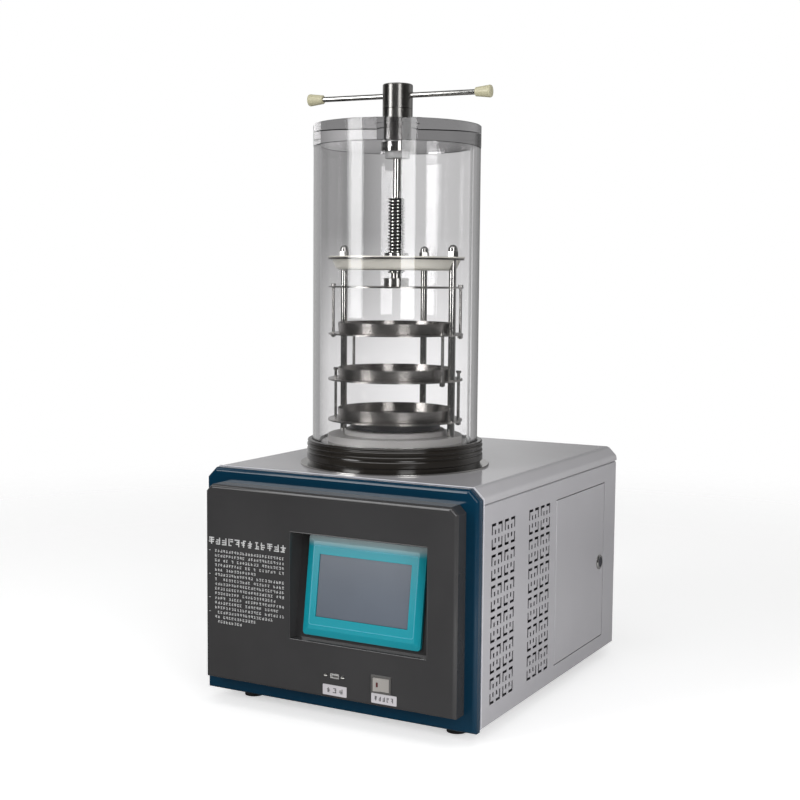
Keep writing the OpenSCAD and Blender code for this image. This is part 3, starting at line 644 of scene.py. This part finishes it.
def screen_plane():
    """The middle of the screen's front, turned to lean back as the screen does."""
    mesh = frame["nodes"]["hmi_screen"].data
    front = max(mesh.polygons, key=lambda p: p.area * (p.normal.y < -0.9)).normal
    corners = [Vector(v.co) for v in mesh.vertices]
    ahead = max(c.dot(front) for c in corners)
    face = [c for c in corners if c.dot(front) > ahead - 0.2 * MM]
    middle = [(min(c[i] for c in face) + max(c[i] for c in face)) / 2 for i in range(3)]
    lean = math.atan2(-front.z, -front.y)
    return Matrix.Translation(middle) @ Matrix.Rotation(lean, 4, "X")


def bezel_ridge():
    """The fine raised line that runs round the flat of the screen's frame, coloured paler than the frame as a
    painted highlight.
    """
    width, height, corner = 170 * MM, 114 * MM, 4 * MM
    line, thickness = 1.3 * MM, 0.5 * MM
    flat = Matrix.Translation((0, -1.4 * MM, 0))
    bm = bmesh.new()
    add_frame(bm, screen_plane() @ flat, width, height, line, thickness, corner)
    add_piece("bezel_ridge", bm, MATERIALS["ridge_highlight_teal"], "cabinet", smooth_angle=50)


def recess_lip():
    """The rounded lip of the moulding round the recess of the screen."""
    line, thickness, corner = 1.6 * MM, 0.5 * MM, 2.6 * MM
    reach_x, reach_z = 112 * MM, 82 * MM
    middle = centre("hmi_screen")
    rim = [
        v.co
        for v in frame["nodes"]["front_panel"].data.vertices
        if abs(v.co.y - panel_face) < 0.05 * MM
        and abs(v.co.x - middle.x) < reach_x
        and abs(v.co.z - middle.z) < reach_z
    ]
    left, right = min(c.x for c in rim), max(c.x for c in rim)
    bottom, top = min(c.z for c in rim), max(c.z for c in rim)
    width, height = right - left + 2 * line, top - bottom + 2 * line
    place = on_panel((left + right) / 2, (bottom + top) / 2)
    bm = bmesh.new()
    add_frame(bm, place, width, height, line, thickness, corner)
    add_piece("recess_lip", bm, MATERIALS["panel_black"], "cabinet", smooth_angle=60)


def casing_edge():
    """The folded edge of the casing, in a paint much paler than the casing's as a painted highlight, seen as a
    fine line round the front frame.
    """
    half, top = high("top_cover").x, high("top_cover").z
    foot = low("side_panel_right").z
    chamfer = 15 * MM
    outline = [(half, foot), (half, top - chamfer), (half - chamfer, top)]
    outline += [(-x, z) for x, z in reversed(outline)]
    # The fold's section in millimetres: out of the casing, and back from the frame
    section = ((-0.6, -0.2), (0.35, -0.2), (0.5, 0.1), (0.5, 0.9), (0.35, 1.2), (-0.6, 1.2))
    bm = bmesh.new()
    rows = []
    for out, back in section:
        y = high("front_frame").y + back * MM
        row = []
        for x, z in outline:
            side = 1 if x > 0 else -1
            above = out if z > foot else 0.0
            row.append(bm.verts.new((x + side * out * MM, y, z + above * MM)))
        rows.append(row)
    for first, second in zip(rows, rows[1:] + rows[:1]):
        bridge(bm, first, second, closed=False)
    bm.faces.new([row[0] for row in rows])
    bm.faces.new([row[-1] for row in reversed(rows)])
    add_piece("casing_edge", bm, MATERIALS["edge_highlight_paint"], "cabinet", smooth_angle=50)


# ---------------------------------------------------------------- rings of the rack


def rack_step():
    """The low raised ring on the rack's base, round the support of the lowest shelf."""
    outer, bore, chamfer = 77 * MM, 50 * MM, 1.5 * MM
    seat = high("rack_base").z
    top = seat + 7.5 * MM
    profile = ((bore, seat), (bore, top), (outer - chamfer, top), (outer, top - chamfer), (outer, seat))
    turned_ring("rack_step", profile, "grey_plate")


def rim_shade_band():
    """A dark band under the flat rim of the rack's top plate: painted shade, a dark ring put where the rim's
    shadow falls.
    """
    outer = high("top_plate").x - chamber.x - 0.5 * MM
    inner, chamfer = outer - 5 * MM, 0.5 * MM
    top = high("top_plate").z - 2 * MM
    foot = top - 2.6 * MM
    profile = ((inner, top), (outer, top), (outer, foot + chamfer), (outer - chamfer, foot), (inner, foot))
    turned_ring("rim_shade_band", profile, "rim_shade_dark")


threaded_screw()
panel_print()
bezel_ridge()
recess_lip()
casing_edge()
rack_step()
rim_shade_band()
usb = centre("usb_screws")
under_usb = (usb.x + 0.8 * MM, usb.z - 20.5 * MM)
label("usb_label", under_usb, width=39 * MM, height=15 * MM, marks=3)
switch = centre("switch_body")
under_switch = (switch.x + 4.5 * MM, switch.z - 20.0 * MM)
label("switch_label", under_switch, width=40 * MM, height=14 * MM, marks=5)
rocker_mark()

# ---------------------------------------------------------------- studio


def soft_box(name, place, target, size, energy):
    data = bpy.data.lights.new(name, "AREA")
    data.shape = "RECTANGLE"
    data.size, data.size_y = size
    data.energy = energy
    lamp = place_object(name, data)
    lamp.location = place
    lamp.rotation_mode = "QUATERNION"
    lamp.rotation_quaternion = (target - place).to_track_quat("-Z", "Y")
    return lamp


def chamber_light(name, azimuth, distance, height, size, energy):
    """A soft box turned to the chamber, with its azimuth in degrees from the front to the right."""
    place = around_chamber(distance, math.radians(azimuth - 90), height)
    return soft_box(name, place, Vector((chamber.x, chamber.y, height - 0.2)), size, energy)


def light_rig():
    """Two tall soft boxes in front, a wide one overhead and a small low one by the right side."""
    distance, height = 2.4, 1.25
    chamber_light("soft_box_left", -28.5, distance, height, size=(0.84, 1.5), energy=21)
    chamber_light("soft_box_right", 44, distance, height, size=(0.80, 1.5), energy=18)
    overhead = chamber_light("soft_box_top", 20, distance=0.6, height=2.7, size=(2.4, 2.4), energy=20)
    overhead.visible_glossy = False
    corner = Vector((high("side_panel_right").x, low("side_panel_right").y, 0.19))
    aside = corner + Vector((0.68, -0.40, 0))
    low_side = soft_box("soft_box_side", aside, corner, size=(0.22, 0.28), energy=1.6)
    low_side.visible_camera = False
    low_side.visible_glossy = False
    low_side.visible_transmission = False


def mirrored_studio(graph, direction):
    """The light that mirrors see: dark in front with two lit places, and three pale places behind."""
    east, north, up = graph.split(direction)
    left_wall = graph.remap(east, -0.62, -0.36, 0.55, 0.12)
    right_wall = graph.product(graph.remap(east, 0.10, 0.45, 0.0, 0.48), graph.remap(north, 0.45, 0.80))
    over_back_edge = graph.product(
        graph.remap(east, -0.50, -0.43, 0.0, 0.42),
        graph.remap(east, -0.40, -0.28, 1.0, 0.0),
        graph.remap(up, 0.06, 0.12),
    )
    behind = graph.total(left_wall, right_wall, over_back_edge)
    high_bar = graph.product(graph.between(up, 0.62, 0.74), 3.0)
    low_left_patch = graph.product(
        graph.between(east, -0.68, -0.33),
        graph.remap(up, 0.0, 0.06, 0.0, 3.2),
        graph.below(up, 0.30),
    )
    in_front = graph.total(high_bar, low_left_patch)
    return graph.total(
        graph.product(behind, graph.remap(north, -0.1, 0.5)),
        graph.product(in_front, graph.below(north, -0.2)),
        0.04,
    )


def studio_through_clear_parts(graph, direction):
    """The light that clear parts let through: paler low down and to the right, darker to the sides."""
    cosine, sine = math.cos(VIEW_AZIMUTH), math.sin(VIEW_AZIMUTH)
    across = graph.measure("DOT_PRODUCT", direction, (cosine, sine, 0))
    ahead = graph.measure("DOT_PRODUCT", direction, (-sine, cosine, 0))
    _, _, up = graph.split(direction)
    upper = graph.remap(across, -0.062, 0.020, 0.30, 0.64)
    lower = graph.remap(across, -0.062, 0.020, 0.84, 1.05)
    return graph.product(
        graph.choose(graph.remap(up, -0.06, 0.03), lower, upper),
        graph.remap(ahead, 0.35, 0.90, 0.25, 1.0),
        graph.remap(across, -0.90, -0.80, 0.10, 1.0),
    )


def world():
    """White behind the object, and a graded studio in its mirrors and through its clear parts."""
    studio = bpy.data.worlds.new("studio")
    bpy.context.scene.world = studio
    graph = Graph(studio)
    rays = graph.add("LightPath").outputs
    direction = graph.add("TexCoord").outputs["Generated"]
    mirrored = mirrored_studio(graph, direction)
    through = studio_through_clear_parts(graph, direction)
    after_mirror = graph.above(rays["Glossy Depth"], 0.5)
    deep = graph.above(rays["Transmission Depth"], 2.5)
    through = graph.choose(after_mirror, through, graph.choose(deep, 0.34, mirrored))
    strength = graph.choose(rays["Is Glossy Ray"], 0.30, mirrored)
    strength = graph.choose(rays["Is Transmission Ray"], strength, through)
    strength = graph.choose(rays["Is Camera Ray"], strength, 1.0)
    background = graph.nodes["Background"]
    graph.feed(background.inputs["Color"], (1, 1, 1))
    graph.feed(background.inputs["Strength"], strength)


def floor():
    """A pale floor that keeps the shadow and fades into the white background."""
    bm = bmesh.new()
    bmesh.ops.create_circle(bm, cap_ends=True, segments=96, radius=4.0)
    mesh = bpy.data.meshes.new("floor")
    bm.to_mesh(mesh)
    bm.free()
    surface = Surface("floor", Roughness=0.9, Specular_IOR_Level=0.0, Emission_Color=(1, 1, 1))
    rays = surface.add("LightPath").outputs
    place = surface.object_coordinates()
    east, north, _ = surface.split(place)
    # Painted reflection: mirrors see this floor painted dark grey, with a pale patch painted in to the right.
    at_right = surface.product(surface.remap(east, 0.1, 0.5), surface.remap(north, 1.3, 0.4))
    mirrored = surface.two_tones(at_right, (0.20, 0.20, 0.20), (1, 1, 1))
    tone = surface.two_tones(rays["Is Glossy Ray"], (0.86, 0.86, 0.86), mirrored)
    glow = surface.product(rays["Is Camera Ray"], 0.50)
    surface.set(Base_Color=tone, Emission_Strength=glow)
    reach = surface.measure("LENGTH", place)
    surface.clear_where(surface.remap(reach, 0.9, 2.6, easing="SMOOTHSTEP"))
    mesh.materials.append(surface.material)
    obj = place_object("floor", mesh)
    obj.location = (0, 0, cad_low.z)


def camera():
    """The viewing angle: to the right of the front, a little above the casing, level with the shelves."""
    data = bpy.data.cameras.new("camera")
    data.sensor_width = 36
    data.lens = 61.41
    obj = place_object("camera", data)
    bpy.context.scene.camera = obj
    elevation, roll = math.radians(5.233), math.radians(0.492)
    back = Vector(
        (
            math.sin(VIEW_AZIMUTH) * math.cos(elevation),
            -math.cos(VIEW_AZIMUTH) * math.cos(elevation),
            math.sin(elevation),
        )
    )
    obj.location = (0.9898, -1.91895, 0.6397)
    obj.rotation_mode = "QUATERNION"
    turned = back.to_track_quat("Z", "Y") @ Matrix.Rotation(roll, 4, "Z").to_quaternion()
    obj.rotation_quaternion = turned


light_rig()
world()
floor()
camera()
bpy.context.scene.view_settings.view_transform = "Standard"
